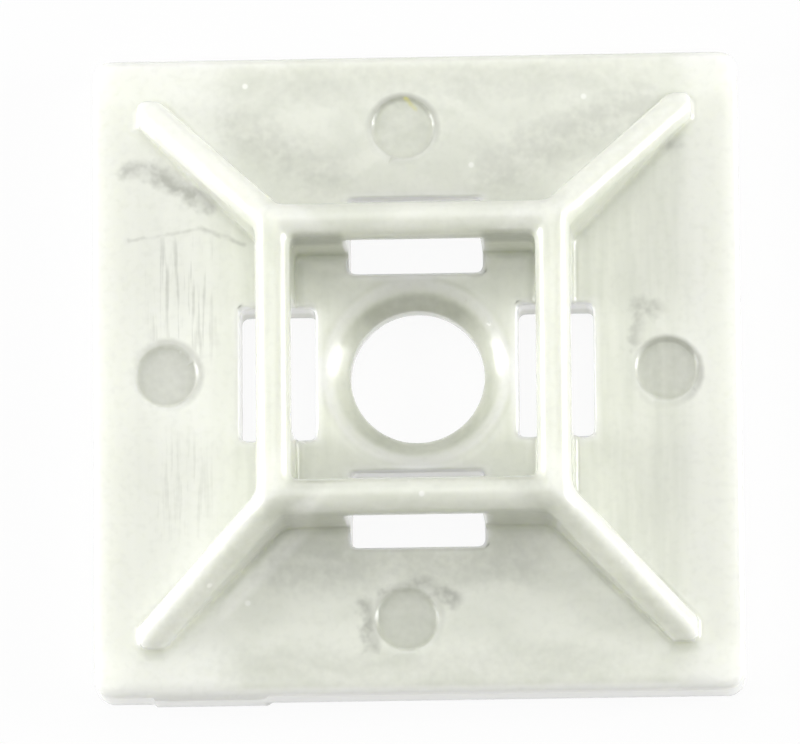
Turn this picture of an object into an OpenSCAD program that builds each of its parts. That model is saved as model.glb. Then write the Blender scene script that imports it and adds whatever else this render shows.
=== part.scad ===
// Four-way cable tie mount of the screw-on type, moulded in one piece.
// A square plate carries a raised square frame of four rails. Each rail
// bridges a slot in the plate, so that a tie can be threaded under it from
// any side. Four ribs run down from the frame's corners towards the plate's
// corners, and a countersunk screw hole goes through the middle.
// Millimetres, +Z up. The origin is at the middle of the plate's underside.

/* [Plate] */
// Width of the square plate, along X and along Y
plate_w = 28; // [26:0.5:40]
// Thickness of the plate
plate_t = 2.4; // [2:0.1:4]
// Radius of the plate's upright corners
corner_r = 0.8; // [0.5:0.1:1.5]
// Radius along the plate's top edges
edge_r = 0.3; // [0.1:0.05:0.4]

/* [Frame of rails] */
// Clear width between two facing rails, at the plate
well_w = 10.44; // [10.2:0.02:12]
// Height of the rails above the plate
rail_h = 4.3; // [3.8:0.1:6]
// Width of a rail where it meets the plate
rail_w = 1.58; // [1.3:0.02:2]
// Slope of the side walls of rails and ribs, for release from the mould
draft = 0.7; // [0.2:0.1:1.5]

/* [Tie slots] */
// Length of each slot along its rail, for the width of the tie
slot_l = 5.8; // [3:0.1:6.4]
// How far a slot reaches past each face of its rail
slot_lead = 0.85; // [0.6:0.05:0.95]
// Height of the opening under a rail, above the plate
tie_gap = 2.8; // [1.6:0.1:2.8]
// Radius of the slots' upright corners
slot_r = 0.3; // [0.1:0.05:0.6]
// Width and depth of the bevel round the mouth of a slot
slot_bevel = 0.2; // [0.1:0.05:0.3]

/* [Corner ribs] */
// Width of a rib where it meets the plate
rib_w = 1.54; // [1.3:0.02:2]
// Distance from the plate's edge to the outer end of a rib
rib_margin = 2; // [1:0.1:3]
// Height of a rib's outer end above the plate
rib_end_h = 0.8; // [0.4:0.1:2]
// How far a rib's top starts below the top of the frame
rib_drop = 0.06; // [0.02:0.02:0.4]
// Radius of the upright edges at a rib's outer end
rib_end_r = 0.35; // [0.1:0.05:0.6]

/* [Screw hole] */
// Diameter of the screw hole
hole_d = 5.8; // [3.6:0.1:6]
// Diameter of the countersink at the plate's top
sink_d = 8; // [6.6:0.1:8.2]
// Angle across the countersink
sink_angle = 90; // [80:1:110]

/* [Moulding marks] */
// Diameter of the round mark that an ejector pin leaves
mark_d = 2.8; // [1.6:0.1:3.2]
// Depth of an ejector pin's mark
mark_depth = 0.15; // [0.05:0.05:0.4]
// Distance from the plate's edge to the middle of a mark
mark_inset = 3.2; // [2.4:0.1:3.6]
// Sideways shift of the front and back marks
mark_shift = 0.5; // [0:0.1:1]
// Length of the gate's trimmed stub on the front edge
gate_w = 5; // [3:0.5:6]
// How far the gate's stub stands out of the front edge
gate_proud = 0.12; // [0.05:0.01:0.2]
// Distance from the plate's left edge to the middle of the gate
gate_from_left = 5; // [4:0.5:9]

/* [Hidden] */

$fn = 64;
NYLON = [0.9, 0.91, 0.86];
// Room past a face, so that a cut goes right through it
PAST = 1;
// How far walls that stand on the plate are sunk into it
SINK = plate_t / 2;
// How far outside the crossing of two rails' centre lines a rib starts. It
// is still inside the rails there.
RIB_ROOT = rail_w / 4;

top_z = plate_t + rail_h;
// Distance from the middle to a rail's centre line
rail_at = (well_w + rail_w) / 2;
slot_in = well_w / 2 - slot_lead;
slot_out = well_w / 2 + rail_w + slot_lead;
// Ribs run along the diagonals, from rail_at out to rib_reach
rib_reach = plate_w / 2 - rib_margin;
rib_run = (rib_reach - rail_at) * sqrt(2);
rib_start_z = top_z - rib_drop;
rib_slope = atan((rib_start_z - plate_t - rib_end_h) / rib_run);
sink_depth = (sink_d - hole_d) / 2 / tan(sink_angle / 2);
mark_at = plate_w / 2 - mark_inset;

// Radius that rounds the top of a drafted wall over its full width
function crest_r(foot_w, h) =
    (foot_w / 2 - h * tan(draft)) / (1 / cos(draft) - tan(draft));

// Rectangle centred on the origin, with round corners
module rounded_rect(w, l, r) {
    square([w - 2 * r, l], center = true);
    square([w, l - 2 * r], center = true);
    for (x = [-1, 1], y = [-1, 1])
        translate([x * (w / 2 - r), y * (l / 2 - r)]) circle(r);
}

// Upright section of a wall of height h that stands on y = 0. Its sides
// slope in by the draft, and its top is one full round.
module wall_section(foot_w, h) {
    r = crest_r(foot_w, h);
    side = r * cos(draft);
    side_top = h - r * (1 - sin(draft));
    foot = side + (side_top + SINK) * tan(draft);
    translate([0, h - r]) circle(r);
    polygon([[-side, side_top], [-foot, -SINK], [foot, -SINK], [side, side_top]]);
}

// Section across the plate, with both top edges rounded
module plate_section() {
    low = plate_t - edge_r;
    inset = plate_w / 2 - edge_r;
    translate([-plate_w / 2, -PAST]) square([plate_w, PAST + low]);
    translate([-inset, 0]) square([2 * inset, plate_t]);
    for (x = [-inset, inset]) translate([x, low]) circle(edge_r);
}

// What a section gives when it is run along both X and Y
module run_both_ways(length) {
    intersection_for (a = [0, 90]) rotate(a) rotate([90, 0, 0])
        linear_extrude(length, center = true) children();
}

// Places its child on each of the four sides
module on_each_side() {
    for (a = [0:90:270]) rotate(a) children();
}

// Wedge that runs along Y and widens upwards at 45 degrees from y = 0. It is
// w wide at the bottom of the bevel.
module bevel_wedge(w) {
    low = w / 2;
    high = low + slot_bevel + PAST;
    rotate([90, 0, 0]) linear_extrude(2 * slot_l, center = true)
        polygon([[-low, -slot_bevel], [low, -slot_bevel], [high, PAST], [-high, PAST]]);
}

// The bevel round a slot's mouth, for the slot at +Y
module slot_mouth() {
    translate([0, (slot_in + slot_out) / 2, plate_t]) intersection() {
        bevel_wedge(slot_l);
        rotate(90) bevel_wedge(slot_out - slot_in);
    }
}

module plate() {
    difference() {
        intersection() {
            linear_extrude(plate_t) rounded_rect(plate_w, plate_w, corner_r);
            run_both_ways(plate_w + 2 * PAST) plate_section();
        }
        on_each_side() slot_mouth();
    }
}

// The rail at +Y, mitred at both ends
module rail() {
    half = rail_at + rail_w;
    intersection() {
        translate([0, rail_at, plate_t]) rotate([90, 0, 90])
            linear_extrude(2 * half, center = true) wall_section(rail_w, rail_h);
        linear_extrude(top_z + PAST) polygon([[0, 0], [half, half], [-half, half]]);
    }
}

// The rib between +X and +Y, which slopes down from the frame's corner
// towards the plate's corner and ends in line with the plate's edges
module rib() {
    intersection() {
        translate([rail_at, rail_at, rib_start_z]) rotate([0, rib_slope, 45])
            translate([0, 0, -rail_h]) rotate([90, 0, 90])
                linear_extrude(rib_run * 2) wall_section(rib_w, rail_h);
        translate([0, 0, plate_t - SINK]) linear_extrude(top_z) intersection() {
            rounded_rect(2 * rib_reach, 2 * rib_reach, rib_end_r);
            rotate(45) translate([rail_at * sqrt(2) + RIB_ROOT, -rib_reach])
                square(2 * rib_reach);
        }
    }
}

// The quarter of the frame between +X and +Y, with its rib
module frame_quarter() {
    intersection() {
        union() {
            rail();
            rotate(-90) rail();
            rib();
        }
        cube([plate_w / 2, plate_w / 2, top_z + PAST]);
    }
}

// Slot through the plate at +Y, with the opening under the rail there
module tie_slot() {
    translate([0, (slot_in + slot_out) / 2, -PAST])
        linear_extrude(PAST + plate_t + tie_gap)
            rounded_rect(slot_l, slot_out - slot_in, slot_r);
}

module screw_hole() {
    rotate_extrude() polygon([
        [0, -PAST], [hole_d / 2, -PAST], [hole_d / 2, plate_t - sink_depth],
        [sink_d / 2, plate_t], [sink_d / 2, plate_t + PAST], [0, plate_t + PAST]
    ]);
}

// Marks of the four ejector pins, one in the middle of each side
module ejector_marks() {
    places = [[mark_at, 0], [-mark_at, 0], [-mark_shift, mark_at], [-mark_shift, -mark_at]];
    for (p = places) translate([p[0], p[1], plate_t - mark_depth])
        cylinder(d = mark_d, h = mark_depth + PAST);
}

// What is left of the gate, low on the front edge
module gate_stub() {
    translate([-plate_w / 2 + gate_from_left - gate_w / 2, -plate_w / 2 - gate_proud, 0])
        cube([gate_w, gate_proud + PAST, plate_t - edge_r]);
}

module tie_mount() {
    color(NYLON) difference() {
        union() {
            plate();
            gate_stub();
            on_each_side() frame_quarter();
        }
        on_each_side() tie_slot();
        screw_hole();
        ejector_marks();
    }
}

tie_mount();
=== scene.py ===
"""Looks of a four-way cable tie mount, moulded in one piece of natural nylon.

The moulding is worked out as a field of distances by a Geometry Nodes tree and
turned into one closed mesh, so that every foot and edge has the small soft
rounding that a mould gives. Its nylon is milky, with faint flow streaks, fine
lines, smears, pin marks and dust, and with painted light and painted shade in
its colour.
"""

import math
from functools import reduce
from types import SimpleNamespace

import bpy
from bpy.props import FloatProperty, FloatVectorProperty, PointerProperty
from bpy.types import Operator, Panel, PropertyGroup
from mathutils import Matrix, Vector


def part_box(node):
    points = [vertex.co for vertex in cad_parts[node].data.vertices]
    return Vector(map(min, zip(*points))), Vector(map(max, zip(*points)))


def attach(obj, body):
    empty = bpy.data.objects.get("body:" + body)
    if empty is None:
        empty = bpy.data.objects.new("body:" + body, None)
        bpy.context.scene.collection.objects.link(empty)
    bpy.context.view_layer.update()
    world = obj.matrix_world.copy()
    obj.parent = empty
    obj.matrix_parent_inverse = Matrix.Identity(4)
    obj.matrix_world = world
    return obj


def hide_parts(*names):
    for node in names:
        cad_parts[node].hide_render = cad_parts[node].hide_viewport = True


bl_info = {
    "name": "Cable Tie Mount",
    "version": (1, 0, 0),
    "blender": (4, 5, 0),
    "location": "3D View > Sidebar > Tie Mount",
    "description": "Dresses the cable tie mount and sets up its studio",
    "category": "Object",
}

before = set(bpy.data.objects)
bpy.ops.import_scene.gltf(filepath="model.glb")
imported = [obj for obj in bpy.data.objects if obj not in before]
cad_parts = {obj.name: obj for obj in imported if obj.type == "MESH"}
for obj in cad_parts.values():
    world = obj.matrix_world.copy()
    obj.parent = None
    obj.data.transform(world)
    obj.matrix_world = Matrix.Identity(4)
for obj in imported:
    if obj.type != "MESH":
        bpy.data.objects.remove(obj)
LOW, HIGH = (Vector(corner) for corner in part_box("tie_mount"))
MM = 0.001


# ---------------------------------------------------------------- sizes

def length(name, text, millimetres):
    """A size that a user may change, in metres as all of Blender's are."""
    return FloatProperty(
        name=name, description=text, default=millimetres * MM, min=0.0, precision=5,
        unit="LENGTH", subtype="DISTANCE",
    )


def factor(name, text, value):
    """A number from 0 to 1 that a user may change."""
    return FloatProperty(name=name, description=text, default=value, min=0.0, max=1.0)


def tint(name, text, colour):
    """A colour that a user may change."""
    return FloatVectorProperty(
        name=name, description=text, default=colour, size=3, min=0.0, max=1.0,
        subtype="COLOR",
    )


class MouldingSizes(PropertyGroup):
    """Sizes of the moulding. Each is a named input of its Geometry Nodes tree."""

    width: length("Plate width", "Width of the square plate", (HIGH.x - LOW.x) / MM)
    height: length("Height", "Height of the frame of rails above the underside", HIGH.z / MM)
    plate_thickness: length("Plate thickness", "Thickness of the square plate", 2.4)
    corner_radius: length("Corner radius", "Radius of the plate's upright corners", 0.8)
    top_edge: length("Top edge", "Radius along the plate's top edges", 0.3)
    bottom_edge: length("Bottom edge", "Softness of the plate's bottom edges", 0.2)
    well_width: length("Well width", "Clear width between two facing rails", 10.44)
    rail_width: length("Rail width", "Width of a rail where it meets the plate", 1.58)
    rib_width: length("Rib width", "Width of a rib where it meets the plate", 1.54)
    rib_margin: length("Rib margin", "From the plate's edge to a rib's outer end", 2.0)
    rib_end_height: length("Rib end height", "Height of a rib's outer end", 0.8)
    rib_drop: length("Rib drop", "How far a rib starts below the rails' tops", 0.06)
    rib_end_radius: length("Rib end radius", "Radius of a rib's upright end edges", 0.35)
    fillet: length("Fillet", "Reach of the soft foot of rails and ribs", 0.4)
    mitre: length("Mitre", "Softness of the frame's corners", 0.5)
    slot_length: length("Slot length", "Length of a slot along its rail", 5.8)
    slot_lead: length("Slot lead", "Reach of a slot past each face of its rail", 0.85)
    slot_radius: length("Slot radius", "Radius of a slot's upright corners", 0.3)
    slot_bevel: length("Slot bevel", "Width and depth of the bevel round a slot", 0.03)
    tie_gap: length("Tie gap", "Height of the opening under a rail", 2.8)
    lip: length("Lip", "Softness of the edges of slots and holes", 0.07)
    hole_diameter: length("Hole diameter", "Diameter of the screw hole", 5.8)
    sink_diameter: length("Sink diameter", "Diameter of the countersink", 8.0)
    sink_lip: length("Sink lip", "Softness of the countersink's edges", 0.5)
    mark_diameter: length("Mark diameter", "Diameter of an ejector pin's mark", 2.8)
    mark_depth: length("Mark depth", "Depth of an ejector pin's mark", 0.15)
    mark_inset: length("Mark inset", "From the plate's edge to a mark's middle", 3.2)
    mark_shift: length("Mark shift", "Sideways shift of the front and back marks", 0.5)
    mark_wall: length("Mark wall", "Width of the sloping wall round a mark", 0.16)
    burr: length("Burr", "Height of the burr raised round a mark", 0.03)
    gate_width: length("Gate width", "Length of the gate's trimmed stub", 5.0)
    gate_from_left: length("Gate from left", "From the plate's left to the gate's middle", 5.0)
    gate_proud: length("Gate proud", "How far the gate's stub stands out", -(LOW.y + HIGH.y) / MM)
    grain: length("Mesh grain", "Spacing of the points that the mesh is made from", 0.1)
    draft: factor("Draft", "Slope of the side walls, as a share of their height", 0.0122)


class NylonFinish(PropertyGroup):
    """Colours and finish of the nylon, with the colours of its painted light and shade."""

    milk: tint("Milky nylon", "Colour of the clear stretches", (0.79, 0.805, 0.72))
    haze: tint("Streaks", "Colour of the flow streaks", (0.70, 0.72, 0.63))
    # This colour serves the dust and the painted light of the paler tones.
    pale_and_painted_light: tint("Pale tones", "Colour of the paler tones and of dust", (0.88, 0.89, 0.83))
    # Colour of the painted light that makes the slots' walls glow.
    slot_wall_painted_light: tint("Slot walls", "Colour of the slots' walls", (0.97, 0.98, 0.95))
    # This colour serves the smears, fine lines and pin marks, and the painted shade of the darker
    # tones and of the pin marks' rims.
    soil_and_shade: tint("Smears", "Colour of smears, pin marks and darker tones", (0.33, 0.34, 0.28))
    fleck: tint("Fleck", "Colour of the yellow fleck", (0.75, 0.72, 0.25))
    roughness: factor("Roughness", "Roughness of the moulded face", 0.33)
    glow: factor("Glow", "How much light goes into the nylon and out again", 1.0)
    waviness: length("Waviness", "Height of the skin's unevenness", 0.02)


# ------------------------------------------------------ fields of distances

class Field:
    """A number that varies over the object, worked out by the nodes of a tree."""

    def __init__(self, socket):
        self.socket = socket

    def math(self, operation, *others):
        tree = self.socket.id_data
        node = tree.nodes.new("ShaderNodeMath")
        node.operation = operation
        for slot, value in zip(node.inputs, (self, *others)):
            if isinstance(value, Field):
                tree.links.new(value.socket, slot)
            else:
                slot.default_value = value
        return Field(node.outputs[0])

    def __add__(self, other):
        return self.math("ADD", other)

    def __sub__(self, other):
        return self.math("SUBTRACT", other)

    def __rsub__(self, other):
        return -self + other

    def __mul__(self, other):
        return self.math("MULTIPLY", other)

    def __truediv__(self, other):
        return self.math("DIVIDE", other)

    def __neg__(self):
        return self.math("MULTIPLY", -1.0)

    def __abs__(self):
        return self.math("ABSOLUTE")


def most(a, b):
    return a.math("MAXIMUM", b)


def least(a, b):
    return a.math("MINIMUM", b)


def soft_most(a, b, reach):
    return a.math("SMOOTH_MAX", b, reach)


def soft_least(a, b, reach):
    return a.math("SMOOTH_MIN", b, reach)


def reach_of(a, b):
    """Length of the sloping line with sides a and b."""
    return (a * a + b * b).math("SQRT")


def rounded(past_a, past_b, radius):
    """Distance to a corner of a given radius, from the distances past its sides."""
    a = past_a + radius
    b = past_b + radius
    return reach_of(most(a, 0.0), most(b, 0.0)) + least(most(a, b), 0.0) - radius


def wall(side, up, radius, draft):
    """Distance to a wall with drafted sides and a full round along its top, up = 0."""
    middle = up + radius
    swell = most(-middle, 0.0) * draft
    return reach_of(side, most(middle, 0.0)) - radius - swell


def crest(foot_width, height, draft):
    """Radius that rounds a drafted wall of that height over its full width."""
    return (foot_width * 0.5 - height * draft) / (1.0 - draft)


# How softly a pin mark's wall starts and ends, as a share of its width
MARK_WALL_SOFTNESS = 0.5
# How far outside the crossing of two rails' middles a rib starts, as a share of
# the rails' width
RIB_ROOT = 0.25
# Diagonal of a square with sides of 1, and half of it
DIAGONAL = math.sqrt(2.0)
HALF_DIAGONAL = math.sqrt(0.5)


def plate_field(s, x, y, z):
    """The square plate, with the ejector pins' marks in its top."""
    half = s.width * 0.5
    mark_at = half - s.mark_inset
    middles = (
        (mark_at, 0.0), (-mark_at, 0.0), (-s.mark_shift, mark_at), (-s.mark_shift, -mark_at),
    )
    nearest = reduce(least, [reach_of(x - at_x, y - at_y) for at_x, at_y in middles])
    past_rim = (nearest - s.mark_diameter * 0.5) / s.mark_wall
    # 0 on the mark's floor and 1 outside its wall
    outside = soft_least(past_rim + 1.0, 1.0, MARK_WALL_SOFTNESS)
    outside = soft_most(outside, 0.0, MARK_WALL_SOFTNESS)
    rim = (-(past_rim * past_rim)).math("EXPONENT")
    lift = (outside - 1.0) * s.mark_depth + rim * s.burr
    edge = rounded(abs(x) - half, abs(y) - half, s.corner_radius)
    return rounded(edge, z - s.plate_thickness - lift, s.top_edge)


def gate_field(s, x, y, z):
    """The trimmed stub of the gate, low on the front edge."""
    half = s.width * 0.5
    along = abs(x + half - s.gate_from_left) - s.gate_width * 0.5
    out = abs(y + half) - s.gate_proud
    top = z - s.plate_thickness + s.top_edge
    return rounded(most(along, top), out, s.gate_proud * 0.5)


def frame_field(s, x, y, z):
    """The four rails and the four ribs that run down from their corners."""
    rail_at = (s.well_width + s.rail_width) * 0.5
    rail_height = s.height - s.plate_thickness
    across = soft_most(abs(x), abs(y), s.mitre)
    rail_radius = crest(s.rail_width, rail_height, s.draft)
    rails = wall(across - rail_at, z - s.height, rail_radius, s.draft)

    out = (abs(x) + abs(y)) * HALF_DIAGONAL
    aside = (abs(x) - abs(y)) * HALF_DIAGONAL
    rib_end = s.width * 0.5 - s.rib_margin
    run = (rib_end - rail_at) * DIAGONAL
    start = s.height - s.rib_drop
    fall = (start - s.plate_thickness - s.rib_end_height) / run
    lean = (fall * fall + 1.0).math("SQRT")
    top = start - (out - rail_at * DIAGONAL) * fall
    rib_radius = crest(s.rib_width, rail_height, s.draft)
    rib = wall(aside, (z - top) / lean, rib_radius, s.draft)
    inner_end = rail_at * DIAGONAL + s.rail_width * RIB_ROOT - out
    outer_end = rounded(abs(x) - rib_end, abs(y) - rib_end, s.rib_end_radius)
    rib = soft_most(most(rib, inner_end), outer_end, s.lip)
    # rails and ribs stand in the plate and don't come out below it
    sunk = s.plate_thickness * 0.5 - z
    return most(soft_least(rails, rib, s.fillet), sunk)


def slot_fields(s, x, y, z):
    """The slots with the openings under the rails, and the bevels of their mouths."""
    across = most(abs(x), abs(y))
    along = least(abs(x), abs(y))
    slot_in = s.well_width * 0.5 - s.slot_lead
    slot_out = s.well_width * 0.5 + s.rail_width + s.slot_lead
    past_side = abs(across - (slot_in + slot_out) * 0.5) - (slot_out - slot_in) * 0.5
    past_end = along - s.slot_length * 0.5
    slot = rounded(past_side, past_end, s.slot_radius)
    opening = soft_most(slot, z - s.plate_thickness - s.tie_gap, s.lip)
    bevel = most(past_side, past_end) - (z - s.plate_thickness + s.slot_bevel)
    return opening, bevel * HALF_DIAGONAL


def screw_field(s, x, y, z):
    """The screw hole and its 90 degree countersink."""
    away = reach_of(x, y)
    past_sink = away - s.sink_diameter * 0.5
    cone = (past_sink - z + s.plate_thickness) * HALF_DIAGONAL
    return soft_least(away - s.hole_diameter * 0.5, most(cone, past_sink), s.lip)


def moulding_field(s, x, y, z):
    """Distance to the whole moulding, less than 0 inside it."""
    opening, mouth = slot_fields(s, x, y, z)
    plate = soft_least(plate_field(s, x, y, z), gate_field(s, x, y, z), s.lip)
    plate = soft_most(soft_most(plate, -z, s.bottom_edge), -mouth, s.lip)
    solid = soft_least(plate, frame_field(s, x, y, z), s.fillet)
    solid = soft_most(solid, -opening, s.lip)
    return soft_most(solid, -screw_field(s, x, y, z), s.sink_lip)


# Density at the moulding's face, which is where the mesh is made
THRESHOLD = 0.5
# How much larger the mesh's faces may be where it is nearly flat
ADAPTIVITY = 0.02
# How many points the block reaches past the moulding on every side
SPARE_POINTS = 4.0


def moulding_tree(material):
    """The Geometry Nodes tree of the moulding, and the identifiers of its inputs."""
    tree = bpy.data.node_groups.new("Nylon moulding", "GeometryNodeTree")
    tree.interface.new_socket("Geometry", in_out="OUTPUT", socket_type="NodeSocketGeometry")
    identifiers = {}
    for key, prop in MouldingSizes.bl_rna.properties.items():
        if key in MouldingSizes.__annotations__:
            socket = tree.interface.new_socket(
                prop.name, in_out="INPUT", socket_type="NodeSocketFloat")
            identifiers[key] = socket.identifier
    nodes, links = tree.nodes, tree.links
    group_in = nodes.new("NodeGroupInput")
    group_out = nodes.new("NodeGroupOutput")
    sizes = SimpleNamespace()
    for key, socket in zip(identifiers, group_in.outputs):
        setattr(sizes, key, Field(socket))

    position = nodes.new("GeometryNodeInputPosition")
    split = nodes.new("ShaderNodeSeparateXYZ")
    links.new(position.outputs["Position"], split.inputs["Vector"])
    x, y, z = (Field(socket) for socket in split.outputs)
    distance = moulding_field(sizes, x, y, z)
    density = THRESHOLD - distance / sizes.grain

    spare = sizes.grain * SPARE_POINTS
    side = sizes.width * 0.5 + sizes.gate_proud + spare
    block = nodes.new("GeometryNodeVolumeCube")
    links.new(density.socket, block.inputs["Density"])
    corners = {"Min": (-side, -side, -spare), "Max": (side, side, sizes.height + spare)}
    for name, corner in corners.items():
        vector = nodes.new("ShaderNodeCombineXYZ")
        for value, slot in zip(corner, vector.inputs):
            links.new(value.socket, slot)
        links.new(vector.outputs["Vector"], block.inputs[name])
    for axis, low, high in zip("XYZ", corners["Min"], corners["Max"]):
        count = ((high - low) / sizes.grain).math("ROUND") + 1.0
        links.new(count.socket, block.inputs["Resolution " + axis])

    skin = nodes.new("GeometryNodeVolumeToMesh")
    skin.inputs["Threshold"].default_value = THRESHOLD
    skin.inputs["Adaptivity"].default_value = ADAPTIVITY
    smooth = nodes.new("GeometryNodeSetShadeSmooth")
    realize = nodes.new("GeometryNodeRealizeInstances")
    finish = nodes.new("GeometryNodeSetMaterial")
    finish.inputs["Material"].default_value = material
    links.new(block.outputs["Volume"], skin.inputs["Volume"])
    links.new(skin.outputs["Mesh"], smooth.inputs["Geometry"])
    links.new(smooth.outputs["Geometry"], realize.inputs["Geometry"])
    links.new(realize.outputs["Geometry"], finish.inputs["Geometry"])
    links.new(finish.outputs["Geometry"], group_out.inputs["Geometry"])
    return tree, identifiers


def evaluated_piece(maker, name):
    """A plain mesh object with what the maker's modifiers give."""
    graph = bpy.context.evaluated_depsgraph_get()
    mesh = bpy.data.meshes.new_from_object(maker.evaluated_get(graph))
    if not mesh.polygons:
        raise RuntimeError("The modifiers of " + maker.name + " gave no mesh")
    mesh.name = name
    bpy.data.objects.remove(maker)
    piece = bpy.data.objects.new(name, mesh)
    bpy.context.scene.collection.objects.link(piece)
    return piece


# ------------------------------------------------ shared effects of the surface

class Arrow:
    """A vector that varies over the object, worked out by the nodes of a tree."""

    def __init__(self, socket):
        self.socket = socket

    def math(self, operation, *others):
        tree = self.socket.id_data
        node = tree.nodes.new("ShaderNodeVectorMath")
        node.operation = operation
        for slot, value in zip(node.inputs, (self, *others)):
            if isinstance(value, (Arrow, Field)):
                tree.links.new(value.socket, slot)
            else:
                slot.default_value = value
        if operation in {"DOT_PRODUCT", "LENGTH"}:
            return Field(node.outputs["Value"])
        return Arrow(node.outputs["Vector"])

    def __add__(self, other):
        return self.math("ADD", other)

    def __sub__(self, other):
        return self.math("SUBTRACT", other)

    def __mul__(self, other):
        return self.math("MULTIPLY", other)

    def dot(self, other):
        return self.math("DOT_PRODUCT", other)

    def length(self):
        return self.math("LENGTH")


def ramp(value, start, end, height=1.0):
    """0 up to the start and the height past the end, with a smooth way between them.

    The end may also be the lower of the two.
    """
    tree = value.socket.id_data
    node = tree.nodes.new("ShaderNodeMapRange")
    node.interpolation_type = "SMOOTHSTEP"
    inputs = {"Value": value, "From Min": start, "From Max": end, "To Max": height}
    for name, given in inputs.items():
        if isinstance(given, Field):
            tree.links.new(given.socket, node.inputs[name])
        else:
            node.inputs[name].default_value = given
    return Field(node.outputs["Result"])


def hump(value, middle, reach, full, height=1.0):
    """The height up to full from the middle, and 0 from the reach on."""
    return ramp(abs(value - middle), reach, full, height)


def noise(place, scale, detail):
    """Smooth random values, as one number and as three in a vector."""
    tree = place.socket.id_data
    node = tree.nodes.new("ShaderNodeTexNoise")
    tree.links.new(place.socket, node.inputs["Vector"])
    node.inputs["Scale"].default_value = scale
    node.inputs["Detail"].default_value = detail
    return Field(node.outputs["Fac"]), Arrow(node.outputs["Color"])


def deepest(tones):
    """The greatest of some tones at each place."""
    return reduce(most, tones)


def blend(first, second, share):
    """The first number where the share is 0, and the second where it is 1."""
    return first + (second - first) * share


def effect(name, inputs, outputs):
    """A new shader node group, its inputs as fields and arrows, and its outputs."""
    tree = bpy.data.node_groups.new(name, "ShaderNodeTree")
    for title, value in inputs.items():
        kind = "NodeSocketVector" if isinstance(value, tuple) else "NodeSocketFloat"
        socket = tree.interface.new_socket(title, in_out="INPUT", socket_type=kind)
        socket.default_value = value
    for title in outputs:
        tree.interface.new_socket(title, in_out="OUTPUT", socket_type="NodeSocketFloat")
    given = [
        Arrow(socket) if isinstance(value, tuple) else Field(socket)
        for value, socket in zip(inputs.values(), tree.nodes.new("NodeGroupInput").outputs)
    ]
    return tree, given, tree.nodes.new("NodeGroupOutput").inputs


def placed(material_tree, group, position, values):
    """One use of an effect in a material, with its own values."""
    node = material_tree.nodes.new("ShaderNodeGroup")
    node.node_tree = group
    material_tree.links.new(position.socket, node.inputs["Position"])
    for title, value in values.items():
        node.inputs[title].default_value = value
    return [Field(socket) for socket in node.outputs]


# The effects and the material below read places in millimetres, and their lengths
# are in millimetres too.

NOWHERE = (0.0, 0.0, 0.0)
STREAK_DETAIL = 2.0
# Share of a speck's radius that is solid
SPECK_CORE = 0.4
# Where a pin mark's floor starts and is full, from the mark's edge
MARK_FLOOR = (0.05, -0.15)
# Where the shaded rim is darkest, and how far it is full, as shares of its width
MARK_RIM_MIDDLE = 0.1
MARK_RIM_CORE = 0.1
# The floor's tone in the mark's middle, and how much it gains for each millimetre
# towards the shaded side, which gain is painted shade
MARK_FLOOR_MIDDLE = 0.9
MARK_FLOOR_GAIN = 0.2
# The rim is faint on the side away from the shaded one, and grows over this span
MARK_RIM_LEAST = 0.2
MARK_RIM_SPAN = (-1.2, 1.2, 0.8)


def streak_effect():
    """Streaks, from 0 to 1, drawn out where the stretch is small."""
    tree, given, gives = effect(
        "Flow streaks",
        {"Position": NOWHERE, "Stretch": (1.0, 1.0, 1.0), "Softness": 0.2},
        ["Streaks"])
    position, stretch, softness = given
    value = noise(position * stretch, 1.0, STREAK_DETAIL)[0]
    streaks = ramp(value, 0.5 - softness, softness + 0.5)
    tree.links.new(streaks.socket, gives["Streaks"])
    return tree


def smear_effect():
    """A smear along a line from start to end, as ragged as the position given."""
    tree, given, gives = effect(
        "Smear",
        {"Position": NOWHERE, "Start": NOWHERE, "End": NOWHERE, "Half width": 0.2,
         "Softness": 0.2, "Tone": 1.0},
        ["Smear"])
    position, start, end, half_width, softness, tone = given
    line = end - start
    offset = position - start
    along = tree.nodes.new("ShaderNodeMapRange")
    tree.links.new(offset.dot(line).socket, along.inputs["Value"])
    tree.links.new(line.dot(line).socket, along.inputs["From Max"])
    away = (offset - line * Field(along.outputs["Result"])).length()
    mark = ramp(away, half_width + softness, half_width, tone)
    tree.links.new(mark.socket, gives["Smear"])
    return tree


def speck_effect():
    """A round speck, solid in its middle."""
    tree, given, gives = effect(
        "Speck", {"Position": NOWHERE, "Middle": NOWHERE, "Radius": 0.2}, ["Speck"])
    position, middle, radius = given
    away = (position - middle).length()
    mark = ramp(away, radius, radius * SPECK_CORE)
    tree.links.new(mark.socket, gives["Speck"])
    return tree


def pin_mark_effect():
    """The floor and the shaded rim of the round mark that an ejector pin leaves. The rim's tone
    is painted shade, and so is the floor's gain towards the shaded side.
    """
    tree, given, gives = effect(
        "Pin mark",
        {"Position": NOWHERE, "Middle": NOWHERE, "Shaded side": (0.0, 1.0, 0.0),
         "Radius": 1.4, "Rim": 0.3, "Floor tone": 0.2, "Rim tone": 0.4},
        ["Tone", "Floor"])
    position, middle, shaded_side, radius, rim_width, floor_tone, rim_tone = given
    offset = position - middle
    away = offset.length()
    side = offset.dot(shaded_side)
    past_edge = away - radius
    floor = ramp(past_edge, *MARK_FLOOR)
    floor_shade = floor * floor_tone * (side * MARK_FLOOR_GAIN + MARK_FLOOR_MIDDLE)
    rim = hump(
        past_edge, rim_width * MARK_RIM_MIDDLE, rim_width, rim_width * MARK_RIM_CORE, rim_tone)
    rim_shade = rim * (ramp(side, *MARK_RIM_SPAN) + MARK_RIM_LEAST)
    tree.links.new(most(floor_shade, rim_shade).socket, gives["Tone"])
    tree.links.new(floor.socket, gives["Floor"])
    return tree


# ---------------------------------------------------------------- nylon

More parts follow.
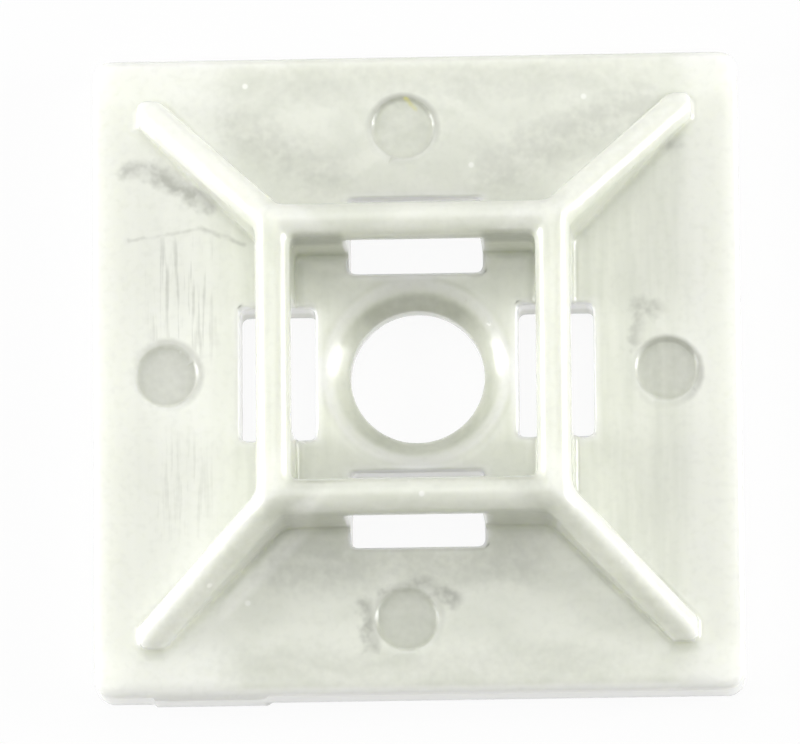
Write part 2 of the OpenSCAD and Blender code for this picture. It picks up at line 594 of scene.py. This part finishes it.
# Height of the plate's top, and the slots' middle, half width and half length
TOP = 2.4
SLOT_AT = 6.01
SLOT_HALF_WIDTH = 1.64
SLOT_HALF_LENGTH = 2.9

# Scale and detail of the noises: a slow wander, the tear of ragged edges, the fine
# ripple and the skin's slow waves
WANDER = (0.35, 0.0)
TEAR = (1.5, 2.0)
RIPPLE = (3.0, 1.0)
WAVES = (0.7, 0.0)
# How far the wander and the tear move the streaks in front and at the back
STREAK_WANDER = 2.6
STREAK_TEAR = 0.5
# The streaks in front and at the back run along X, and those at the sides along Y
SIDEWAYS = {"Stretch": (0.28, 0.75, 0.8), "Softness": 0.24}
UPRIGHT = {"Stretch": (1.7, 0.2, 0.8), "Softness": 0.30}
# Where the one kind goes over into the other, across the plate's diagonals
TURN = (-1.0, 1.0)

# Fine lines along Y on the left of the plate, which show where the streaks are
# low, in two bunches. A bunch gives its middle along Y, how far it reaches and is
# full, and its depth of tone.
FINE_LINES = {"Stretch": (4.6, 0.3, 0.8), "Softness": 0.24}
LINE_TEAR = 0.05
LINE_CUT = (0.6, 0.0)
BACK_BUNCH = (3.4, 3.4, 1.8, 0.36)
FRONT_BUNCH = (-4.8, 3.2, 1.2, 0.15)
BUNCHES_PART = (0.5, -0.5)
LINES_ACROSS = (-10.1, 1.9, 0.7)
ON_TOP = (TOP, 0.2, 0.1)

# Smears on the plate: both ends on its top, half width, softness and depth of tone
SMEARS = (
    # by the rib at the back left
    ((-12.6, 9.15), (-11.3, 9.0), 0.05, 0.55, 0.44),
    ((-11.3, 9.0), (-9.0, 7.5), 0.05, 0.62, 0.62),
    # by the rib at the back right
    ((10.6, 9.8), (11.4, 9.85), 0.00, 0.50, 0.28),
    # round the mark on the right
    ((10.35, 2.6), (9.7, 2.7), 0.00, 0.65, 0.46),
    ((9.7, 2.7), (9.5, 1.2), 0.00, 0.55, 0.40),
    # round the mark in front
    ((-2.3, -10.2), (-2.0, -12.0), 0.05, 0.50, 0.62),
    ((-1.5, -9.6), (0.2, -9.2), 0.00, 0.40, 0.44),
    ((0.2, -9.3), (1.5, -9.9), 0.05, 0.62, 0.68),
    # broad shades behind the frame and in front of it
    ((-7.6, 10.9), (-3.8, 8.8), 0.10, 1.40, 0.17),
    ((3.7, 8.9), (9.6, 11.6), 0.20, 1.60, 0.20),
    ((-6.0, -8.6), (4.6, -8.4), 0.10, 1.40, 0.18),
)

# A fine hair line that bends over the left of the plate, given as the smears are
HAIR_LINE = (
    ((-12.4, 6.0), (-11.0, 6.2), 0.00, 0.14, 0.22),
    ((-11.0, 6.2), (-9.3, 6.5), 0.00, 0.15, 0.26),
    ((-9.3, 6.5), (-7.4, 5.75), 0.00, 0.18, 0.32),
)

# How ragged the smears, the hair line and the fleck are, and how patchy the first two
SMEAR_TEAR = 0.75
HAIR_TEAR = 0.25
FLECK_TEAR = 0.3
PATCHES = (0.34, 0.6, 0.55)
PATCH_LEAST = 0.6

# Pale specks of dust, on the plate or on a crest, and a yellow fleck on the plate
DUST_RADIUS = 0.17
DUST = (
    (-7.35, 12.75, 2.4), (7.35, 12.05, 2.4), (-8.85, -9.6, 4.6), (-7.35, -10.0, 2.4),
    (8.8, -8.85, 4.9), (-0.2, -5.6, 6.4), (0.35, -6.1, 6.7), (2.45, 9.1, 2.4),
)
YELLOW_FLECK = {
    "Start": (-0.3, 12.05, 2.4), "End": (0.05, 11.6, 2.4), "Half width": 0.03,
    "Softness": 0.15, "Tone": 0.8,
}

# The ejector pins' marks: middle, shaded side, tone of the floor and of the rim
PIN_MARKS = (
    ((-10.8, 0.05), (0.9, 0.4), 0.36, 0.44),
    ((10.8, -0.15), (0.7, 0.7), 0.30, 0.60),
    ((-0.5, 10.75), (0.2, 1.0), 0.04, 0.55),
    ((-0.45, -10.75), (0.3, 0.9), 0.22, 0.30),
)

# Where the broad tones lie: painted light, painted shade and darker bands. A span
# is where a tone starts and where it is full. A hump is its middle, how far it
# reaches to both sides and how far it is full. One more number is the depth, where
# that isn't 1. What a span or hump runs over is told by the function that uses it.

# painted light: paler on the plate's side edges, its front edge and its left side
SIDE_EDGES = (10.8, 12.4, 0.8)
FRONT_EDGE = (13.6, 14.0)
LEFT_SIDE = (7.0, 9.5, 0.7)
# painted light: paler on the ribs' sides that face back, and faintly on the side rails
ABOVE_PLATE = (2.5, 3.6, 0.6)
FACING_BACK = (1.0, -0.3)
BESIDE_RIBS = (-2.4, -1.3)
SIDE_RAILS = (1.2, 2.6)
SIDE_RAIL_TONE = 0.3
# painted light: paler at the countersink's outer edge
IN_SINK = (TOP, 1.3, 1.1)
SINK_EDGE = (3.85, 0.4, 0.1, 0.9)
# painted light: paler at the front ribs' feet, most of all the left one's
RIB_FOOT = (-1.9, 0.8, 0.2, 0.9)
FOOT_IN_FRONT = (-5.5, -7.0)
FOOT_END = (9.5, 8.0)
FOOT_ON_LEFT = (2.0, -2.0, 0.7)
FOOT_LEAST = 0.3
# painted light, the palest: down the slots' walls, in their own colour
SLOT_WALL = (0.0, 0.4, 0.1)
SLOT_WALL_LOW = (0.8, 1.6)
SLOT_WALL_HIGH = (2.42, 2.34)
# painted shade: darker high on the frame on both sides of the back slot
BESIDE_SLOT = (4.1, 1.3, 0.9)
BACK_RAIL = (5.35, 0.5, 0.3)
HIGH_FROM = (4.0, 5.0)
HIGH_TO = (6.6, 6.0, 0.65)
# painted shade: darker on the screw hole's rim, mostly at the back
HOLE_RIM = (3.15, 0.5, 0.2)
HOLE_RIM_ENDS = (0.9, 0.5)
HOLE_RIM_AT_BACK = (-3.0, 3.0, 0.25)
HOLE_RIM_IN_FRONT = 0.15
# painted shade: darker on one side of the two front ribs and of the back rib on the right
RIB_SIDE = (0.3, -0.4)
RIB_SIDE_END = (-2.4, -1.2)
RIB_RAISED = (2.6, 3.3)
RIB_IN_FRONT = (0.5, -0.5, 0.2)
RIB_ON_RIGHT = (-0.5, 0.5, 0.1)
# darker: bands along the plate's back and front edges
BAND_INNER = (11.6, 12.7, 0.13)
BAND_OUTER = (13.8, 13.3)
BAND_ENDS = (11.0, 6.0)

# Depth of the fine mottle
MOTTLE = 0.24
# Roughness that the streaks add, roughness of the pin marks' floors, and the part
# of the coat that these floors lack
STREAK_ROUGHNESS = 0.06
MARK_ROUGHNESS = 0.55
MARK_DULLING = 0.6
# Shares of the slow waves and of the ripple in the unevenness of the skin
WAVE_SHARE = 0.7
RIPPLE_SHARE = 0.3
# How far light goes in the nylon, and the share of that for red, green and blue
LIGHT_REACH = 1.5
LIGHT_REACH_BY_COLOUR = (1.0, 1.0, 0.9)


def tinted(first, second, share):
    """The first colour where the share is 0, and the second where it is 1."""
    tree = share.socket.id_data
    node = tree.nodes.new("ShaderNodeMix")
    node.data_type = "RGBA"
    tree.links.new(share.socket, node.inputs["Factor"])
    for name, colour in (("A", first), ("B", second)):
        slot = next(slot for slot in node.inputs if slot.name == name and slot.type == "RGBA")
        if isinstance(colour, Field):
            tree.links.new(colour.socket, slot)
        else:
            slot.default_value = (*colour, 1.0)
    return Field(next(slot for slot in node.outputs if slot.type == "RGBA"))


def moved(place, arrow, distance):
    """The place, moved by the arrow times the distance."""
    return place + arrow * ((distance,) * 3)


def streak_flow(at, streaks):
    """The flow streaks, from 0 to 1."""
    wandering = moved(moved(at.place, at.wander, STREAK_WANDER), at.tear, STREAK_TEAR)
    sideways, = placed(at.tree, streaks, wandering, SIDEWAYS)
    upright, = placed(at.tree, streaks, at.place, UPRIGHT)
    return blend(sideways, upright, ramp(at.sides, *TURN))


def fine_lines(at, streaks):
    """The tone of the fine lines on the left of the plate."""
    lines, = placed(at.tree, streaks, moved(at.place, at.tear, LINE_TEAR), FINE_LINES)
    bunches = blend(hump(at.y, *BACK_BUNCH), hump(at.y, *FRONT_BUNCH), ramp(at.y, *BUNCHES_PART))
    on_left = hump(at.x, *LINES_ACROSS) * hump(at.z, *ON_TOP)
    return ramp(lines, *LINE_CUT) * bunches * on_left


def smears_of(at, smear, table, tear):
    """The tone of a table of smears, all as ragged as one another."""
    torn = moved(at.place, at.tear, tear)
    marks = []
    for start, end, half_width, softness, tone in table:
        marks += placed(at.tree, smear, torn, {
            "Start": (*start, TOP), "End": (*end, TOP), "Half width": half_width,
            "Softness": softness, "Tone": tone})
    return deepest(marks)


def smear_tone(at, smear):
    """The tone of the smears and of the hair line, which are patchy."""
    smears = smears_of(at, smear, SMEARS, SMEAR_TEAR)
    hair_line = smears_of(at, smear, HAIR_LINE, HAIR_TEAR)
    return most(smears, hair_line) * (ramp(at.patches, *PATCHES) + PATCH_LEAST)


def pin_marks(at):
    """The tone of the ejector pins' marks, and their floors."""
    pin_mark = pin_mark_effect()
    tones, floors = zip(*(
        placed(at.tree, pin_mark, at.place, {
            "Middle": (*middle, TOP), "Shaded side": (*shaded_side, 0.0),
            "Floor tone": floor_tone, "Rim tone": rim_tone})
        for middle, shaded_side, floor_tone, rim_tone in PIN_MARKS))
    return deepest(tones), deepest(floors)


def dust_specks(at):
    """The specks of dust, from 0 to 1."""
    speck = speck_effect()
    specks = []
    for spot in DUST:
        specks += placed(at.tree, speck, at.place, {"Middle": spot, "Radius": DUST_RADIUS})
    return deepest(specks)


def painted_light_tones(at):
    """How much painted light pales the nylon, from 0 to 1: on the plate's edges and left side,
    the ribs' and side rails' flanks, the countersink's edge and the front ribs' feet.
    """
    side_edges = ramp(abs(at.x), *SIDE_EDGES)
    front_edge = ramp(-at.y, *FRONT_EDGE)
    left_side = ramp(-at.x, *LEFT_SIDE)
    facing_back = ramp(at.sides * at.y.math("SIGN"), *FACING_BACK)
    rib_sides = facing_back * ramp(at.sides, *BESIDE_RIBS)
    side_rails = ramp(at.sides, *SIDE_RAILS)
    walls = blend(rib_sides, side_rails * SIDE_RAIL_TONE, side_rails) * ramp(at.z, *ABOVE_PLATE)
    sink_edge = hump(at.away, *SINK_EDGE) * hump(at.z, *IN_SINK)
    foot = hump(at.sides, *RIB_FOOT) * ramp(at.y, *FOOT_IN_FRONT) * ramp(abs(at.x), *FOOT_END)
    foot = foot * (ramp(at.x, *FOOT_ON_LEFT) + FOOT_LEAST)
    return deepest((side_edges, front_edge, left_side, walls, sink_edge, foot))


def painted_slot_wall_light(at):
    """The painted light down the slots' walls, from 0 to 1."""
    past_side = abs(at.across - SLOT_AT) - SLOT_HALF_WIDTH
    past_end = at.along - SLOT_HALF_LENGTH
    walls = hump(most(past_side, past_end), *SLOT_WALL)
    return walls * ramp(at.z, *SLOT_WALL_LOW) * ramp(at.z, *SLOT_WALL_HIGH)


def painted_shade_and_bands(at):
    """How much darker the nylon is, from 0 to 1: painted shade beside the back slot, on the screw
    hole's rim and on the ribs' sides, and darker bands along the back and front edges.
    """
    beside_slot = hump(abs(at.x), *BESIDE_SLOT) * hump(at.y, *BACK_RAIL)
    beside_slot = beside_slot * ramp(at.z, *HIGH_FROM) * ramp(at.z, *HIGH_TO)
    hole_rim = hump(at.away, *HOLE_RIM) * hump(at.z, *IN_SINK)
    hole_rim = hole_rim * ramp(abs(at.x) / at.away, *HOLE_RIM_ENDS)
    hole_rim = hole_rim * (ramp(at.y, *HOLE_RIM_AT_BACK) + HOLE_RIM_IN_FRONT)
    rib_side = ramp(at.sides, *RIB_SIDE) * ramp(at.sides, *RIB_SIDE_END) * ramp(at.z, *RIB_RAISED)
    rib_side = rib_side * most(ramp(at.y, *RIB_IN_FRONT), ramp(at.x, *RIB_ON_RIGHT))
    bands = ramp(abs(at.y), *BAND_INNER) * ramp(abs(at.y), *BAND_OUTER)
    bands = bands * ramp(abs(at.x), *BAND_ENDS)
    return deepest((beside_slot, hole_rim, rib_side, bands))


def places_on(tree):
    """The place on the piece, and what the effects read there, for a material."""
    place = Arrow(tree.nodes.new("ShaderNodeTexCoord").outputs["Object"]) * ((1.0 / MM,) * 3)
    split = tree.nodes.new("ShaderNodeSeparateXYZ")
    tree.links.new(place.socket, split.inputs["Vector"])
    x, y, z = (Field(socket) for socket in split.outputs)
    middle_grey = (0.5, 0.5, 0.5)
    patches, tear = noise(place, *TEAR)
    return SimpleNamespace(
        tree=tree, place=place, x=x, y=y, z=z,
        # distance from the screw hole's axis, and the place across and along a rail
        away=reach_of(x, y), across=most(abs(x), abs(y)), along=least(abs(x), abs(y)),
        # more than 0 on the left and right of the diagonals, less in front and behind
        sides=abs(x) - abs(y),
        wander=noise(place, *WANDER)[1] - middle_grey,
        tear=tear - middle_grey, patches=patches,
        ripple=noise(place, *RIPPLE)[0],
    )


def nylon_material(finish):
    """Milky nylon with flow streaks, fine lines, smears, pin marks and dust, and with painted
    light and painted shade in its colour.
    """
    material = bpy.data.materials.new("Natural nylon")
    material.use_nodes = True
    tree = material.node_tree
    shader = tree.nodes["Principled BSDF"]
    at = places_on(tree)
    streaks, smear = streak_effect(), smear_effect()

    flow = streak_flow(at, streaks)
    mark_tone, mark_floors = pin_marks(at)
    # fine lines, smears and pin marks, with the painted shade of the darker tones and of the pin
    # marks' rims
    soil_and_shade = deepest((
        fine_lines(at, streaks), smear_tone(at, smear), mark_tone, painted_shade_and_bands(at),
    ))
    fleck, = placed(tree, smear, moved(at.place, at.tear, FLECK_TEAR), YELLOW_FLECK)

    colour = tinted(finish.haze, finish.milk, flow)
    # painted light: the paler tones
    colour = tinted(colour, finish.pale_and_painted_light, painted_light_tones(at))
    colour = tinted(colour, finish.soil_and_shade, soil_and_shade + (at.ripple - 0.5) * MOTTLE)
    # painted light: the glow down the slots' walls
    colour = tinted(colour, finish.slot_wall_painted_light, painted_slot_wall_light(at))
    colour = tinted(colour, finish.pale_and_painted_light, dust_specks(at))
    colour = tinted(colour, finish.fleck, fleck)
    tree.links.new(colour.socket, shader.inputs["Base Color"])

    rough = flow * STREAK_ROUGHNESS + finish.roughness
    rough = blend(rough, MARK_ROUGHNESS, mark_floors)
    tree.links.new(rough.socket, shader.inputs["Roughness"])
    coat = 1.0 - mark_floors * MARK_DULLING
    tree.links.new(coat.socket, shader.inputs["Coat Weight"])

    unevenness = noise(at.place, *WAVES)[0] * WAVE_SHARE + at.ripple * RIPPLE_SHARE
    bump = tree.nodes.new("ShaderNodeBump")
    bump.inputs["Distance"].default_value = finish.waviness
    tree.links.new(unevenness.socket, bump.inputs["Height"])
    tree.links.new(bump.outputs["Normal"], shader.inputs["Normal"])

    shader.inputs["IOR"].default_value = 1.53
    shader.inputs["Coat Roughness"].default_value = 0.16
    shader.inputs["Subsurface Weight"].default_value = finish.glow
    shader.inputs["Subsurface Radius"].default_value = LIGHT_REACH_BY_COLOUR
    shader.inputs["Subsurface Scale"].default_value = LIGHT_REACH * MM
    return material


class TIEMOUNT_OT_moulding(Operator):
    """Make the nylon moulding and let it stand for the solid part"""

    bl_idname = "tiemount.moulding"
    bl_label = "Nylon moulding"

    def execute(self, context):
        sizes = context.scene.tie_mount_sizes
        material = nylon_material(context.scene.tie_mount_finish)
        tree, identifiers = moulding_tree(material)
        maker = bpy.data.objects.new("moulding_maker", bpy.data.meshes.new("moulding_maker"))
        context.scene.collection.objects.link(maker)
        modifier = maker.modifiers.new("Moulding", "NODES")
        modifier.node_group = tree
        for key, identifier in identifiers.items():
            modifier[identifier] = getattr(sizes, key)
        even = maker.modifiers.new("Even shading", "WEIGHTED_NORMAL")
        even.weight = 100
        piece = evaluated_piece(maker, "moulding")
        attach(piece, "root")
        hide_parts("tie_mount")
        return {"FINISHED"}


# ---------------------------------------------------------------- studio

# The softboxes: place and size in metres, power in watts, and whether it is upright
SOFTBOXES = {
    "Low left": ((-0.3, 0.0, 0.06), (0.24, 0.12), 1.09, True),
    "Low right": ((0.3, 0.0, 0.06), (0.24, 0.12), 0.96, True),
    "High left": ((-0.25, 0.0, 0.5), (0.2, 0.4), 0.19, False),
    "High right": ((0.25, 0.0, 0.5), (0.2, 0.4), 0.12, False),
    "Back": ((0.0, 0.38, 0.22), (0.5, 0.4), 0.36, False),
    "High back": ((0.0, 0.25, 0.5), (0.4, 0.25), 0.40, False),
    "Top": ((0.0, 0.1, 0.62), (0.3, 0.3), 0.275, False),
}
WHITE = (1.0, 1.0, 1.0, 1.0)
WORLD_STRENGTH = 0.26
FLOOR_COLOUR = (0.9, 0.9, 0.9, 1.0)
FLOOR_WIDTH = 3.0
# How far the floor lies below the moulding's underside
FLOOR_GAP = 0.02 * MM
# How much of the floor shows as plain white. The rest keeps the moulding's shadow.
FLOOR_WHITENESS = 0.93

# The camera leans back from straight above by its tilt, towards the front, which
# is turned a little to the right. It rolls about its own line of sight.
CAMERA_TILT = math.radians(11.0)
CAMERA_TURN = math.radians(12.0)
CAMERA_ROLL = math.radians(0.5)
CAMERA_DISTANCE = 0.44
CAMERA_LENS = 456.2
CAMERA_SENSOR = 36.0
CAMERA_SHIFT = (-0.0236, 0.0130)
CAMERA_CLIP_START = 0.01


def softbox(name, place, size, power, upright):
    """A lit panel that faces the part, or faces level where it stands upright."""
    lamp = bpy.data.lights.new(name, "AREA")
    lamp.shape = "RECTANGLE"
    lamp.size, lamp.size_y = size
    lamp.energy = power
    box = bpy.data.objects.new(name, lamp)
    box.location = place
    if upright:
        box.rotation_euler = Vector((-place[0], 0.0, 0.0)).to_track_quat("-Z", "Z").to_euler()
    else:
        box.rotation_euler = (-Vector(place)).to_track_quat("-Z", "Y").to_euler()
    box.visible_camera = False
    bpy.context.scene.collection.objects.link(box)


def camera():
    """The camera looks almost straight down, from a little in front and to the right."""
    aside = math.sin(CAMERA_TILT)
    back = Vector((
        aside * math.sin(CAMERA_TURN), -aside * math.cos(CAMERA_TURN), math.cos(CAMERA_TILT)))
    up = Vector((0.0, 1.0, 0.0))
    up = (up - up.dot(back) * back).normalized()
    right = up.cross(back)
    data = bpy.data.cameras.new("Camera")
    data.lens = CAMERA_LENS
    data.sensor_width = CAMERA_SENSOR
    data.shift_x, data.shift_y = CAMERA_SHIFT
    data.clip_start = CAMERA_CLIP_START
    thing = bpy.data.objects.new("Camera", data)
    turned_right = math.cos(CAMERA_ROLL) * right - math.sin(CAMERA_ROLL) * up
    turned_up = math.sin(CAMERA_ROLL) * right + math.cos(CAMERA_ROLL) * up
    axes = Matrix((turned_right, turned_up, back)).transposed().to_4x4()
    thing.matrix_world = Matrix.Translation(back * CAMERA_DISTANCE) @ axes
    bpy.context.scene.collection.objects.link(thing)
    bpy.context.scene.camera = thing


def shown_white(tree, plain, output, share):
    """Shows white by its share to the camera, in gloss and through glass.

    All other rays meet the plain shader.
    """
    nodes, links = tree.nodes, tree.links
    path = nodes.new("ShaderNodeLightPath")
    rays = ("Is Camera Ray", "Is Glossy Ray", "Is Transmission Ray")
    seen = deepest([Field(path.outputs[ray]) for ray in rays]) * share
    on_material = output.bl_idname == "ShaderNodeOutputMaterial"
    white = nodes.new("ShaderNodeEmission" if on_material else "ShaderNodeBackground")
    white.inputs["Color"].default_value = WHITE
    white.inputs["Strength"].default_value = 1.0
    mix = nodes.new("ShaderNodeMixShader")
    links.new(seen.socket, mix.inputs["Fac"])
    links.new(plain.outputs[0], mix.inputs[1])
    links.new(white.outputs[0], mix.inputs[2])
    links.new(mix.outputs[0], output.inputs["Surface"])


class TIEMOUNT_OT_studio(Operator):
    """Set up the floor, the soft lamps, the world and the camera"""

    bl_idname = "tiemount.studio"
    bl_label = "Studio"

    def execute(self, context):
        floor_material = bpy.data.materials.new("Pale floor")
        floor_material.use_nodes = True
        tree = floor_material.node_tree
        tree.nodes.clear()
        output = tree.nodes.new("ShaderNodeOutputMaterial")
        paint = tree.nodes.new("ShaderNodeBsdfDiffuse")
        paint.inputs["Color"].default_value = FLOOR_COLOUR
        shown_white(tree, paint, output, FLOOR_WHITENESS)
        bpy.ops.mesh.primitive_plane_add(
            size=FLOOR_WIDTH, location=(0.0, 0.0, LOW.z - FLOOR_GAP))
        floor = context.object
        floor.name = "floor"
        floor.data.materials.append(floor_material)

        world = bpy.data.worlds.new("Studio")
        world.use_nodes = True
        context.scene.world = world
        sky = world.node_tree.nodes["Background"]
        sky.inputs["Color"].default_value = WHITE
        sky.inputs["Strength"].default_value = WORLD_STRENGTH
        shown_white(world.node_tree, sky, world.node_tree.nodes["World Output"], 1.0)

        for name, (place, size, power, upright) in SOFTBOXES.items():
            softbox(name, place, size, power, upright)
        camera()
        context.scene.view_settings.view_transform = "Standard"
        return {"FINISHED"}


class TIEMOUNT_PT_panel(Panel):
    """Lists the operators, the sizes and the finish"""

    bl_label = "Cable Tie Mount"
    bl_idname = "TIEMOUNT_PT_panel"
    bl_space_type = "VIEW_3D"
    bl_region_type = "UI"
    bl_category = "Tie Mount"

    def draw(self, context):
        for operator in OPERATORS:
            self.layout.operator(operator.bl_idname)
        for settings in (context.scene.tie_mount_sizes, context.scene.tie_mount_finish):
            column = self.layout.column()
            for key in type(settings).__annotations__:
                column.prop(settings, key)


OPERATORS = (TIEMOUNT_OT_moulding, TIEMOUNT_OT_studio)
CLASSES = (MouldingSizes, NylonFinish, *OPERATORS, TIEMOUNT_PT_panel)


def register():
    for cls in CLASSES:
        bpy.utils.register_class(cls)
    bpy.types.Scene.tie_mount_sizes = PointerProperty(type=MouldingSizes)
    bpy.types.Scene.tie_mount_finish = PointerProperty(type=NylonFinish)


def unregister():
    del bpy.types.Scene.tie_mount_finish
    del bpy.types.Scene.tie_mount_sizes
    for cls in reversed(CLASSES):
        bpy.utils.unregister_class(cls)


def main():
    register()
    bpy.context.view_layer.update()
    bpy.ops.tiemount.moulding()
    bpy.ops.tiemount.studio()


if __name__ == "__main__":
    main()
